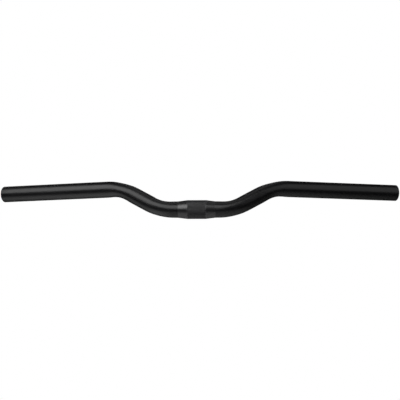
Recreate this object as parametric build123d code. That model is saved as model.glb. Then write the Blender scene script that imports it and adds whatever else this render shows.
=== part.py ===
"""A riser handlebar for a bicycle: one bent aluminium tube, bulged and knurled in the middle for a stem.

The origin is the middle of the stem's clamp. +X points to the rider's left, +Y back towards the rider,
and +Z up. Lengths are in millimetres and angles in degrees.
"""

import os
from math import pi, radians, sin, sqrt, tan

from build123d import *

# The tube, one size from the bulge to the tips
GRIP_DIAMETER = 22.2
GRIP_WALL = 2.2
TIP_CHAMFER = 0.6

# The bulge that a stem clamps: a level land with a taper down to the tube on each side
CLAMP_DIAMETER = 25.4
CLAMP_WALL = 3.0
LAND_WIDTH = 25.0
BULGE_WIDTH = 50.5

# The knurl: straight V grooves along the land
KNURL_WIDTH = 24.0
KNURL_DEPTH = 0.3
KNURL_GROOVES = 72

# The shape of the whole bar
OVERALL_WIDTH = 560.0
RISE = 30.0
BACKSWEEP = 22.0
LOWER_CORNER_SPACING = 98.0
SLANT_ANGLE = 28.0
SLANT_SWEEP = 18.0

# The bends, which squeeze the tube's radius in the plane that they turn in
LOWER_BEND_RADIUS = 55.0
LOWER_BEND_SQUEEZE = 0.8
UPPER_BEND_RADIUS = 69.0
UPPER_BEND_SQUEEZE = 1.1
BEND_RUNOUT = 6.0
BEND_SECTIONS = 8

GRIP_RADIUS = GRIP_DIAMETER / 2
CLAMP_RADIUS = CLAMP_DIAMETER / 2
GRIP_BORE_RADIUS = GRIP_RADIUS - GRIP_WALL
CLAMP_BORE_RADIUS = CLAMP_RADIUS - CLAMP_WALL

# The centre line of the half on +X: three directions, the two corners between them, and the tip
CENTRE_DIRECTION = Vector(1, 0, 0)
SLANT_DIRECTION = CENTRE_DIRECTION.rotate(Axis.Y, -SLANT_ANGLE).rotate(Axis.Z, SLANT_SWEEP)
GRIP_DIRECTION = CENTRE_DIRECTION.rotate(Axis.Z, BACKSWEEP)
LOWER_CORNER = CENTRE_DIRECTION * (LOWER_CORNER_SPACING / 2)
UPPER_CORNER = LOWER_CORNER + SLANT_DIRECTION * (RISE / SLANT_DIRECTION.Z)
TIP_X = OVERALL_WIDTH / 2 - (GRIP_RADIUS - TIP_CHAMFER) * sin(radians(BACKSWEEP))
TIP = UPPER_CORNER + GRIP_DIRECTION * ((TIP_X - UPPER_CORNER.X) / GRIP_DIRECTION.X)


class Bend:
    """A turn of the centre line at a corner, with a run-out along the straight on either side."""

    def __init__(self, corner, before, after, radius, squeeze):
        turn = radians(before.get_angle(after))
        reach = radius * tan(turn / 2) + BEND_RUNOUT
        self.start = corner - before * reach
        self.end = corner + after * reach
        self.path = FilletPolyline(self.start, corner, self.end, radius=radius)
        self.across = before.cross(after)
        self.squeeze = squeeze

    def solid(self, radius):
        """The bent length as a rod, round at both ends and squeezed most halfway round."""
        sections = []
        for step in range(BEND_SECTIONS + 1):
            share = step / BEND_SECTIONS
            squeezed = radius - self.squeeze * sin(pi * share) ** 2
            place = Plane(origin=self.path @ share, x_dir=self.across, z_dir=self.path % share)
            sections.append(place * Ellipse(radius, squeezed))
        return loft(sections)


LOWER_BEND = Bend(
    LOWER_CORNER, CENTRE_DIRECTION, SLANT_DIRECTION, LOWER_BEND_RADIUS, LOWER_BEND_SQUEEZE
)
UPPER_BEND = Bend(
    UPPER_CORNER, SLANT_DIRECTION, GRIP_DIRECTION, UPPER_BEND_RADIUS, UPPER_BEND_SQUEEZE
)


def straight(start, end, radius):
    """A round rod between two points."""
    run = end - start
    upright = Cylinder(radius, run.length, align=(Align.CENTER, Align.CENTER, Align.MIN))
    return Plane(origin=start, z_dir=run) * upright


def middle(radius, land_radius):
    """The straight middle as a rod: the land, its tapers, and tube as far as the lower bends."""
    end = LOWER_BEND.start.X
    outline = Polyline(
        (-end, 0),
        (-end, radius),
        (-BULGE_WIDTH / 2, radius),
        (-LAND_WIDTH / 2, land_radius),
        (LAND_WIDTH / 2, land_radius),
        (BULGE_WIDTH / 2, radius),
        (end, radius),
        (end, 0),
        close=True,
    )
    return revolve(make_face(outline), Axis.X)


def rod(radius, land_radius):
    """The whole bar as a rod, from tip to tip."""
    slant = straight(LOWER_BEND.end, UPPER_BEND.start, radius)
    grip = straight(UPPER_BEND.end, TIP, radius)
    half = LOWER_BEND.solid(radius) + slant + UPPER_BEND.solid(radius) + grip
    return middle(radius, land_radius) + half + mirror(half, about=Plane.YZ)


def tip_rims(bar):
    """The inner and outer edges of both open ends."""
    flats = bar.faces().filter_by(GeomType.PLANE).sort_by(Axis.X)
    return flats[0].edges() + flats[-1].edges()


def knurl():
    """Square bars laid round the land on their corners, each to cut one groove. A crest is on top."""
    side = KNURL_DEPTH * sqrt(2)
    bar = Pos(Z=CLAMP_RADIUS) * Rot(X=45) * Box(KNURL_WIDTH, side, side)
    pitch = 360 / KNURL_GROOVES
    return [Rot(X=pitch * (count + 0.5)) * bar for count in range(KNURL_GROOVES)]


handlebar = rod(GRIP_RADIUS, CLAMP_RADIUS) - rod(GRIP_BORE_RADIUS, CLAMP_BORE_RADIUS)
handlebar = chamfer(tip_rims(handlebar), TIP_CHAMFER)
handlebar -= knurl()

os.makedirs("parts", exist_ok=True)
export_step(handlebar, "parts/handlebar.step")
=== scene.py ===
"""The looks of a riser handlebar: its finished surface, black coating, floor, lights and camera.

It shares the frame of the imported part: the origin is the middle of the stem's clamp, +X points to the
rider's left, +Y back towards the rider and +Z up. Lengths are in metres, and named angles in degrees.
Colours are red, green, blue and 1 for opaque.
"""

from math import ceil, cos, pi, radians, sin, tan

import bpy
import numpy as np
from mathutils import Matrix, Vector


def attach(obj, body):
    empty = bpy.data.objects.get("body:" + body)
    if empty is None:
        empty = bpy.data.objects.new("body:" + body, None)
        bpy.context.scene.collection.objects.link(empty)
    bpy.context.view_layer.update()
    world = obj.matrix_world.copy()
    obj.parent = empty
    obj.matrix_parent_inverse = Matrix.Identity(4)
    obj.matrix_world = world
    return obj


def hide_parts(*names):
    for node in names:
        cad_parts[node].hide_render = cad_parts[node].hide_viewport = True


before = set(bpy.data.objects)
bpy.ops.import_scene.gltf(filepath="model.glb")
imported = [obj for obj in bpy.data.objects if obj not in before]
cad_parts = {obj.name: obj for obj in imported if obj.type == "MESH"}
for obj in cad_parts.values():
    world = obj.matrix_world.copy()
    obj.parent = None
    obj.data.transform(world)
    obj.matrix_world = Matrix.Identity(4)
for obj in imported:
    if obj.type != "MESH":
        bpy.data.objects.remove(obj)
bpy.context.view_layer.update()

MM = 0.001

# The solid's own sizes, which the finished surface keeps
GRIP_RADIUS = 11.1 * MM
GRIP_BORE_RADIUS = 8.9 * MM
CLAMP_RADIUS = 12.7 * MM
CLAMP_BORE_RADIUS = 9.7 * MM
LAND_WIDTH = 25.0 * MM
BULGE_WIDTH = 50.5 * MM
TIP_CHAMFER = 0.6 * MM
KNURL_WIDTH = 24.0 * MM
KNURL_DEPTH = 0.3 * MM
KNURL_GROOVES = 72
OVERALL_WIDTH = 560.0 * MM
RISE = 30.0 * MM
BACKSWEEP = 22.0
LOWER_CORNER_SPACING = 98.0 * MM
SLANT_ANGLE = 28.0
SLANT_SWEEP = 18.0
LOWER_BEND_RADIUS = 55.0 * MM
LOWER_BEND_SQUEEZE = 0.8 * MM
UPPER_BEND_RADIUS = 69.0 * MM
UPPER_BEND_SQUEEZE = 1.1 * MM
BEND_RUNOUT = 6.0 * MM

# How far back from a corner its softening starts, and in how many steps it goes round
CREASE_SOFTNESS = 0.3 * MM
RIM_SOFTNESS = 0.15 * MM
CORNER_STEPS = 4

# How far apart the rings of the surface are at most, and how near to an outline's point one is added
BEND_STEP = 2.0 * MM
BORE_BEND_STEP = 5.0 * MM
STRAIGHT_STEP = 12.0 * MM
LEAST_STEP = 0.05 * MM

# The length in which a groove of the knurl ends, and the turn between faces from which an edge shows
GROOVE_END = 0.1 * MM
SHARP_ANGLE = 62.0

# The point attribute that holds each point's place on the bar before it was bent
UNBENT = "unbent"

# The flat map for baking: strips for the outside and the bore of each half
MAP_NAME = "OFBake"
OUTSIDE_STRIP = 0.36
BORE_STRIP = 0.12
STRIP_GAP = 0.008

# The finishes, as numbers in the bar's list of materials
TUBE_FINISH, TAPER_FINISH, BORE_FINISH = range(3)

# The darkest and the palest tones of the coating outside and of the bore
SATIN_TONES = ((0.0036, 0.0036, 0.0041, 1), (0.0056, 0.0056, 0.0063, 1))
DULL_TONES = ((0.008, 0.008, 0.0085, 1), (0.014, 0.014, 0.0145, 1))

# The coating's patterns: each is a noise with a scale and a detail. The lines' noise is also scaled along
# the tube, back and up, so that they run along the tube
SKIN = (1400.0, 2.0)
PATCHES = (55.0, 4.0)
LINES = (1.0, 3.0)
LINE_SCALES = (40.0, 1800.0, 1800.0)

# How much the patterns change the roughness, and the relief of the skin, to which the lines add a share
PATCH_ROUGHNESS = 0.1
LINE_ROUGHNESS = 0.06
LINE_SHARE = 0.5
RELIEF_DEPTH = 0.08 * MM
RELIEF_STRENGTH = 0.45

# Wear and painted sheen: how far the wear reaches from the tips, the stretch of the skin's noise that
# breaks both up, and their tone, which on the knurl's crests is partly wear and partly a painted sheen
RIM_WEAR = 1.2 * MM
WEAR_AND_SHEEN_BREAK = (0.35, 0.65)
WEAR_AND_SHEEN_TONE = (0.045, 0.045, 0.048, 1)

# The floor, well below the bar. It fades out between two distances from its centre, its grain is a noise
# with a scale and a detail, and its paleness is the share of plain white that the camera sees
FLOOR_HEIGHT = -0.5
FLOOR_RADIUS = 1.2
FLOOR_CENTRE = (-0.12, -0.05)
FLOOR_SIDES = 96
FLOOR_FADE = (0.25, 1.1)
FLOOR_GRAIN = (30.0, 3.0)
FLOOR_TONES = ((0.78, 0.78, 0.78, 1), (0.84, 0.84, 0.84, 1))
FLOOR_ROUGHNESS = 0.9
FLOOR_PALENESS = 0.8

# The light: a lamp's watts for each square metre and unit of radiance, the fill from the room, and how
# straight back along +Y a reflection has to go to meet the white background
LAMP_WATTS = 4
ROOM_FILL = 0.1
BACKGROUND_EDGE = (0.975, 0.985)
WHITE = (1, 1, 1, 1)

# The photograph's view, with the sensor and the lens in millimetres
CAMERA_PLACE = (0.0772, -1.94934, -0.17068)
CAMERA_AIM = (0.00437, -0.00095, 0.01285)
SENSOR_WIDTH = 36.0
FOCAL_LENGTH = 130.69


def heading(climb, sweep):
    """The direction that climbs by one angle from +X and then swings back by the other."""
    tilt = Matrix.Rotation(radians(-climb), 3, "Y")
    swing = Matrix.Rotation(radians(sweep), 3, "Z")
    return swing @ tilt @ Vector((1, 0, 0))


class Straight:
    """A straight length of the centre line. Its axes are the tube's direction, its top and its back."""

    bent = False

    def __init__(self, start, end, axes):
        self.start = start
        self.length = (end - start).length
        self.axes = axes

    def at(self, distance):
        """The centre, the axes, the direction that the tube is squeezed in, and by how much."""
        return self.start + self.axes.col[0] * distance, self.axes, self.axes.col[1], 0.0


class Bend:
    """A turn of the centre line with a straight run-out at either end. It squeezes the tube a little."""

    bent = True

    def __init__(self, corner, after, axes, radius, squeeze):
        before = axes.col[0].copy()
        self.axes = axes
        self.radius = radius
        self.squeeze = squeeze
        self.turn = before.angle(after)
        self.hinge = before.cross(after).normalized()
        reach = radius * tan(self.turn / 2)
        self.start = corner - before * (reach + BEND_RUNOUT)
        self.end = corner + after * (reach + BEND_RUNOUT)
        self.hub = corner - before * reach + self.hinge.cross(before) * radius
        self.length = radius * self.turn + 2 * BEND_RUNOUT

    def turned(self, angle):
        """The axes after part of the turn, in radians."""
        return Matrix.Rotation(angle, 3, self.hinge) @ self.axes

    def at(self, distance):
        """The centre, the axes, the direction that the tube is squeezed in, and by how much."""
        angle = min(max((distance - BEND_RUNOUT) / self.radius, 0.0), self.turn)
        runout = distance - BEND_RUNOUT - angle * self.radius
        axes = self.turned(angle)
        inward = self.hinge.cross(axes.col[0])
        centre = self.hub - inward * self.radius + axes.col[0] * runout
        return centre, axes, inward, self.squeeze * sin(pi * distance / self.length) ** 2


def half_line():
    """The stretches of the centre line from the middle of the clamp to the tip on +X."""
    slant = heading(SLANT_ANGLE, SLANT_SWEEP)
    grip = heading(0, BACKSWEEP)
    lower_corner = Vector((LOWER_CORNER_SPACING / 2, 0, 0))
    upper_corner = lower_corner + slant * (RISE / slant.z)
    tip_x = OVERALL_WIDTH / 2 - (GRIP_RADIUS - TIP_CHAMFER) * sin(radians(BACKSWEEP))
    tip = upper_corner + grip * ((tip_x - upper_corner.x) / grip.x)
    level = Matrix(((1, 0, 0), (0, 0, 1), (0, 1, 0)))
    lower = Bend(lower_corner, slant, level, LOWER_BEND_RADIUS, LOWER_BEND_SQUEEZE)
    slanted = lower.turned(lower.turn)
    upper = Bend(upper_corner, grip, slanted, UPPER_BEND_RADIUS, UPPER_BEND_SQUEEZE)
    return [
        Straight(Vector((0, 0, 0)), lower.start, level),
        lower,
        Straight(lower.end, upper.start, slanted),
        upper,
        Straight(upper.end, tip, upper.turned(upper.turn)),
    ]


LINE = half_line()
LINE_STARTS = np.cumsum([0.0] + [stretch.length for stretch in LINE])
HALF_LENGTH = LINE_STARTS[-1]
TIP_MIDDLE = (GRIP_RADIUS + GRIP_BORE_RADIUS) / 2


def place(along):
    """What the centre line says at a distance from the middle of the bar."""
    number = np.searchsorted(LINE_STARTS, along, "right") - 1
    number = min(number, len(LINE) - 1)
    return LINE[number].at(along - LINE_STARTS[number])


def softened(points):
    """An outline with rounded corners. Each point is a place along the bar, a radius and a softness."""
    corners = [Vector((along, radius)) for along, radius, _ in points]
    outline = [corners[0]]
    for number in range(1, len(points) - 1):
        before, corner, after = corners[number - 1:number + 2]
        softness = points[number][2]
        start = corner + (before - corner).normalized() * softness
        end = corner + (after - corner).normalized() * softness
        for step in range(CORNER_STEPS + 1):
            share = step / CORNER_STEPS
            outline.append(start.lerp(corner, share).lerp(corner.lerp(end, share), share))
    outline.append(corners[-1])
    return outline


def outside_outline():
    """From the middle of the land out to the middle of the tip's face."""
    return softened([
        (0, CLAMP_RADIUS, 0),
        (LAND_WIDTH / 2, CLAMP_RADIUS, CREASE_SOFTNESS),
        (BULGE_WIDTH / 2, GRIP_RADIUS, CREASE_SOFTNESS),
        (HALF_LENGTH - TIP_CHAMFER, GRIP_RADIUS, RIM_SOFTNESS),
        (HALF_LENGTH, GRIP_RADIUS - TIP_CHAMFER, RIM_SOFTNESS),
        (HALF_LENGTH, TIP_MIDDLE, 0),
    ])


def bore_outline():
    """From the middle of the tip's face in along the bore to the middle of the bar."""
    return softened([
        (HALF_LENGTH, TIP_MIDDLE, 0),
        (HALF_LENGTH, GRIP_BORE_RADIUS + TIP_CHAMFER, RIM_SOFTNESS),
        (HALF_LENGTH - TIP_CHAMFER, GRIP_BORE_RADIUS, RIM_SOFTNESS),
        (BULGE_WIDTH / 2, GRIP_BORE_RADIUS, CREASE_SOFTNESS),
        (LAND_WIDTH / 2, CLAMP_BORE_RADIUS, CREASE_SOFTNESS),
        (0, CLAMP_BORE_RADIUS, 0),
    ])


def stops(bend_step):
    """Places along the half line where a ring is wanted, whatever the outline does there."""
    found = []
    for stretch, start in zip(LINE, LINE_STARTS):
        count = ceil(stretch.length / (bend_step if stretch.bent else STRAIGHT_STEP))
        found += [start + stretch.length * number / count for number in range(count)]
    return found[1:]


def ringed(outline, wanted):
    """The outline with more points put in, so that there is one near each wanted place along the bar."""
    points = [outline[0]]
    for here, there in zip(outline, outline[1:]):
        low, high = sorted((here.x, there.x))
        between = [along for along in wanted if low + LEAST_STEP < along < high - LEAST_STEP]
        for along in sorted(between, reverse=there.x < here.x):
            points.append(here.lerp(there, (along - here.x) / (there.x - here.x)))
        points.append(there)
    return points


# Each ridge of the knurl takes four steps round the bar: its crest, a flank, a groove and a flank
RIDGE_HEIGHTS = [1.0, 0.5, 0.0, 0.5]
AROUND = KNURL_GROOVES * len(RIDGE_HEIGHTS)
ANGLES = 2 * pi * np.arange(AROUND) / AROUND
BELOW_CREST = 1 - np.tile(RIDGE_HEIGHTS, KNURL_GROOVES)


def ring_points(along, radius, knurled):
    """One ring of the surface, and where its points were on the bar before it was bent."""
    centre, axes, inward, squeeze = (np.array(item) for item in place(along))
    radii = radius - knurled * KNURL_DEPTH * BELOW_CREST
    up, back = radii * np.cos(ANGLES), radii * np.sin(ANGLES)
    offsets = np.outer(up, axes[:, 1]) + np.outer(back, axes[:, 2])
    offsets -= np.outer(offsets @ inward, inward) * squeeze / radius
    return centre + offsets, np.stack([np.full(AROUND, along), back, up], axis=1)


def half_surface():
    """The half on +X: its outline, a ring at each point of it, and the number of the tip's middle point.

    The outline runs from the land out to the tip and back in along the bore.
    """
    knurl_end = KNURL_WIDTH / 2
    ends = [knurl_end - GROOVE_END, knurl_end, knurl_end + GROOVE_END]
    outside = ringed(outside_outline(), stops(BEND_STEP) + ends)
    bore = ringed(bore_outline(), stops(BORE_BEND_STEP))
    outline = outside + bore[1:]
    rings = []
    for number, point in enumerate(outline):
        knurled = number < len(outside) and point.x < knurl_end + GROOVE_END / 2
        rings.append(ring_points(point.x, point.y, knurled))
    return outline, rings, len(outside) - 1


def finishes(outline, tip):
    """The finish of each face, ring by ring along the outline and back along its mirror image."""
    half = []
    for number, (here, there) in enumerate(zip(outline, outline[1:])):
        finish = TUBE_FINISH
        if number > tip:
            finish = BORE_FINISH
        elif LAND_WIDTH / 2 < (here.x + there.x) / 2 < BULGE_WIDTH / 2:
            finish = TAPER_FINISH
        half += [finish] * AROUND
    return half + half[::-1]


def lay_flat(mesh, outline, tip):
    """Gives the mesh its flat map: four strips as long as the map, each once round the tube."""
    steps = [(there - here).length for here, there in zip(outline, outline[1:])]
    half = [(steps[:tip], OUTSIDE_STRIP), (steps[tip:], BORE_STRIP)]
    strips = half + [(lengths[::-1], height) for lengths, height in half[::-1]]
    around = np.arange(AROUND) / AROUND
    bottom = STRIP_GAP
    corners = []
    for lengths, height in strips:
        marks = np.cumsum([0.0] + lengths) / sum(lengths)
        low = bottom + height * around
        high = low + height / AROUND
        for here, there in zip(marks, marks[1:]):
            start, end = np.full(AROUND, here), np.full(AROUND, there)
            corners.append(np.stack([start, low, end, low, end, high, start, high], axis=1))
        bottom += height + STRIP_GAP
    flat = mesh.uv_layers.new(name=MAP_NAME)
    flat.data.foreach_set("uv", np.concatenate(corners).ravel())


def in_scene(name, data):
    """Makes an object of a mesh, a lamp or a camera, and puts it in the scene."""
    piece = bpy.data.objects.new(name, data)
    bpy.context.collection.objects.link(piece)
    return piece


def handlebar_piece():
    """The whole bar as one closed mesh, a grid of rings that meets itself both along and around."""
    outline, half, tip = half_surface()
    mirror = np.array([-1.0, 1.0, 1.0])
    # The two halves share the rings at the middle, which are the first and the last of a half
    rings = half + [(points * mirror, unbent * mirror) for points, unbent in half[-2:0:-1]]
    faces = []
    for number in range(len(rings)):
        here, there = number * AROUND, (number + 1) % len(rings) * AROUND
        for step in range(AROUND):
            after = (step + 1) % AROUND
            faces.append((here + step, there + step, there + after, here + after))
    mesh = bpy.data.meshes.new("handlebar_coated")
    mesh.from_pydata(np.concatenate([points for points, _ in rings]), [], faces)
    before = mesh.attributes.new(UNBENT, "FLOAT_VECTOR", "POINT")
    before.data.foreach_set("vector", np.concatenate([unbent for _, unbent in rings]).ravel())
    mesh.polygons.foreach_set("use_smooth", [True] * len(faces))
    mesh.polygons.foreach_set("material_index", finishes(outline, tip))
    mesh.set_sharp_from_angle(angle=radians(SHARP_ANGLE))
    lay_flat(mesh, outline, tip)
    return in_scene("handlebar_coated", mesh)


# The Mix node's sockets for colours, which go by number because other sockets have the same names
MIX_SHARE, MIX_FIRST, MIX_SECOND, MIX_RESULT = 0, 6, 7, 2


class Nodes:
    """A shorter way to add nodes to a shader tree and to join them."""

    def __init__(self, owner):
        owner.use_nodes = True
        self.tree = owner.node_tree
        self.tree.nodes.clear()

    def add(self, kind, inputs, **settings):
        """Adds a node and returns its outputs. Inputs are numbers, colours or other nodes' outputs."""
        node = self.tree.nodes.new("ShaderNode" + kind)
        for name, value in settings.items():
            setattr(node, name, value)
        for name, value in inputs.items():
            if isinstance(value, bpy.types.NodeSocket):
                self.tree.links.new(value, node.inputs[name])
            else:
                node.inputs[name].default_value = value
        return node.outputs

    def math(self, operation, *values):
        """Adds a calculation on one to three numbers and returns its result."""
        return self.add("Math", dict(enumerate(values)), operation=operation)["Value"]

    def vector_math(self, operation, *vectors):
        """Adds a calculation on one or two vectors and returns its outputs."""
        return self.add("VectorMath", dict(enumerate(vectors)), operation=operation)

    def noise(self, spot, scale, detail):
        """Adds a noise and returns its value, about 0.5 on average."""
        return self.add("TexNoise", {"Vector": spot, "Scale": scale, "Detail": detail})["Fac"]

    def ramp(self, value, low, high):
        """Adds a soft step, which is 0 up to the low value and 1 from the high one, and returns it."""
        ends = {"Value": value, "From Min": low, "From Max": high}
        return self.add("MapRange", ends, interpolation_type="SMOOTHSTEP")["Result"]

    def blend(self, share, first, second):
        """Adds a blend of two colours and returns its result."""
        colours = {MIX_SHARE: share, MIX_FIRST: first, MIX_SECOND: second}
        return self.add("Mix", colours, data_type="RGBA")[MIX_RESULT]

    def mix(self, share, first, second):
        """Adds a mix of two shaders and returns its result."""
        return self.add("MixShader", dict(enumerate((share, first, second))))["Shader"]


def coating(name, tones, roughness, index):
    """Satin black over drawn tube: near black, with faint drawing lines, soft patches and a fine skin.

    It has a little wear at the rims of the tips. Its knurl's crests are painted lighter, partly as wear
    and partly as a painted sheen for the highlights that the knurl scatters.
    """
    material = bpy.data.materials.new(name)
    nodes = Nodes(material)
    unbent = nodes.add("Attribute", {}, attribute_name=UNBENT)["Vector"]
    stretched = nodes.add("Mapping", {"Vector": unbent, "Scale": LINE_SCALES})["Vector"]
    lines = nodes.noise(stretched, *LINES)
    skin = nodes.noise(unbent, *SKIN)
    patches = nodes.noise(unbent, *PATCHES)
    along = nodes.math("ABSOLUTE", nodes.add("SeparateXYZ", {"Vector": unbent})["X"])
    across = nodes.vector_math("MULTIPLY", unbent, (0, 1, 1))["Vector"]
    radius = nodes.vector_math("LENGTH", across)["Value"]
    # Lighter crests of the knurl: partly wear, partly a painted sheen for the highlights that the knurl
    # scatters
    crest = nodes.ramp(radius, CLAMP_RADIUS - KNURL_DEPTH / 2, CLAMP_RADIUS)
    rim = nodes.ramp(along, HALF_LENGTH - RIM_WEAR, HALF_LENGTH)
    wear_and_sheen = nodes.math("MULTIPLY", nodes.math("MAXIMUM", crest, rim), nodes.ramp(skin, *WEAR_AND_SHEEN_BREAK))
    tone = nodes.blend(wear_and_sheen, nodes.blend(patches, *tones), WEAR_AND_SHEEN_TONE)
    smoothest = roughness - (PATCH_ROUGHNESS + LINE_ROUGHNESS) / 2
    rough = nodes.math("MULTIPLY_ADD", patches, PATCH_ROUGHNESS, smoothest)
    rough = nodes.math("MULTIPLY_ADD", lines, LINE_ROUGHNESS, rough)
    relief = {
        "Height": nodes.math("MULTIPLY_ADD", lines, LINE_SHARE, skin),
        "Strength": RELIEF_STRENGTH,
        "Distance": RELIEF_DEPTH,
    }
    surface = {
        "Base Color": tone,
        "Roughness": rough,
        "IOR": index,
        "Normal": nodes.add("Bump", relief)["Normal"],
    }
    nodes.add("OutputMaterial", {"Surface": nodes.add("BsdfPrincipled", surface)["BSDF"]})
    return material


def floor_piece():
    """A plain pale round floor."""
    turns = [2 * pi * number / FLOOR_SIDES for number in range(FLOOR_SIDES)]
    rim = [(FLOOR_RADIUS * cos(turn), FLOOR_RADIUS * sin(turn), 0) for turn in turns]
    mesh = bpy.data.meshes.new("floor")
    mesh.from_pydata(rim, [], [range(FLOOR_SIDES)])
    mesh.materials.append(floor_paper())
    piece = in_scene("floor", mesh)
    piece.location = (*FLOOR_CENTRE, FLOOR_HEIGHT)
    return piece


def floor_paper():
    """Pale matt paper. The camera sees it nearly as white as the background, with the bar's shadow."""
    material = bpy.data.materials.new("floor_paper")
    nodes = Nodes(material)
    spot = nodes.add("TexCoord", {})["Object"]
    tone = nodes.blend(nodes.noise(spot, *FLOOR_GRAIN), *FLOOR_TONES)
    paper = nodes.add("BsdfPrincipled", {"Base Color": tone, "Roughness": FLOOR_ROUGHNESS})["BSDF"]
    white = nodes.add("Emission", {"Color": WHITE})["Emission"]
    seen = nodes.math("MULTIPLY", nodes.add("LightPath", {})["Is Camera Ray"], FLOOR_PALENESS)
    distance = nodes.vector_math("LENGTH", spot)["Value"]
    clear = nodes.add("BsdfTransparent", {})["BSDF"]
    faded = nodes.mix(nodes.ramp(distance, *FLOOR_FADE), nodes.mix(seen, paper, white), clear)
    nodes.add("OutputMaterial", {"Surface": faded})
    return material


def facing(name, data, at, aim):
    """A lamp or a camera that stands at one point and faces another."""
    piece = in_scene(name, data)
    piece.location = at
    piece.rotation_euler = (Vector(aim) - Vector(at)).to_track_quat("-Z", "Y").to_euler()
    return piece


def lamp(name, at, aim, width, height, radiance):
    """A rectangular lamp that faces a point and that the camera doesn't see."""
    light = bpy.data.lights.new(name, "AREA")
    light.shape = "RECTANGLE"
    light.size = width
    light.size_y = height
    light.energy = LAMP_WATTS * width * height * radiance
    piece = facing(name, light, at, aim)
    piece.visible_camera = False


def softbox(name, azimuth, elevation, distance, **size):
    """A lamp that faces the clamp. Azimuth 0 is in front, on -Y, and grows towards +X."""
    turn, lift = radians(azimuth), radians(elevation)
    outward = Vector((sin(turn) * cos(lift), -cos(turn) * cos(lift), sin(lift)))
    lamp(name, outward * distance, (0, 0, 0), **size)


def studio():
    """A white background for the camera and for reflections straight behind the bar, and weak fill."""
    world = bpy.data.worlds.new("studio")
    bpy.context.scene.world = world
    nodes = Nodes(world)
    ray = nodes.add("LightPath", {})
    direction = nodes.add("SeparateXYZ", {"Vector": nodes.add("TexCoord", {})["Generated"]})
    behind = nodes.ramp(direction["Y"], *BACKGROUND_EDGE)
    reflected = nodes.math("MAXIMUM", ray["Is Glossy Ray"], ray["Is Transmission Ray"])
    reflected = nodes.math("MULTIPLY", reflected, behind)
    shown = nodes.math("MAXIMUM", reflected, ray["Is Camera Ray"])
    fill = nodes.math("MULTIPLY", ray["Is Diffuse Ray"], ROOM_FILL)
    strength = nodes.math("MAXIMUM", shown, fill)
    background = nodes.add("Background", {"Color": WHITE, "Strength": strength})["Background"]
    nodes.add("OutputWorld", {"Surface": background})


def camera():
    """The photograph's view: from far in front, a little below the bar and on its +X side."""
    lens = bpy.data.cameras.new("camera")
    lens.sensor_width = SENSOR_WIDTH
    lens.lens = FOCAL_LENGTH
    bpy.context.scene.camera = facing("camera", lens, CAMERA_PLACE, CAMERA_AIM)


# The bar, with its materials in the order of the finishes
bar = handlebar_piece()
bar.data.materials.append(coating("satin_black_coating", SATIN_TONES, roughness=0.33, index=1.45))
bar.data.materials.append(coating("burnished_black_coating", SATIN_TONES, roughness=0.34, index=1.7))
bar.data.materials.append(coating("dull_black_bore", DULL_TONES, roughness=0.55, index=1.45))
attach(bar, "root")
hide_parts("handlebar")

# The stage: the floor, softboxes in front, above and behind, and a low lamp under the half on -X
floor_piece()
softbox("key", azimuth=-38, elevation=34, distance=0.68, width=1.06, height=0.6, radiance=2.3)
softbox("fill", azimuth=64, elevation=28, distance=0.78, width=0.76, height=0.74, radiance=0.55)
softbox("top", azimuth=180, elevation=88, distance=0.8, width=0.3, height=0.3, radiance=0.5)
softbox("rim", azimuth=180, elevation=57, distance=1.6, width=0.5, height=0.5, radiance=0.35)
softbox("back_left", azimuth=-134, elevation=22, distance=1.6, width=1.0, height=0.55, radiance=2.0)
softbox("back_right", azimuth=134, elevation=22, distance=1.6, width=1.0, height=0.55, radiance=2.0)
lamp("card", at=(-0.61, 0, -0.45), aim=(-0.61, 0, 0), width=0.85, height=0.48, radiance=0.42)
studio()
camera()
bpy.context.scene.view_settings.view_transform = "Standard"
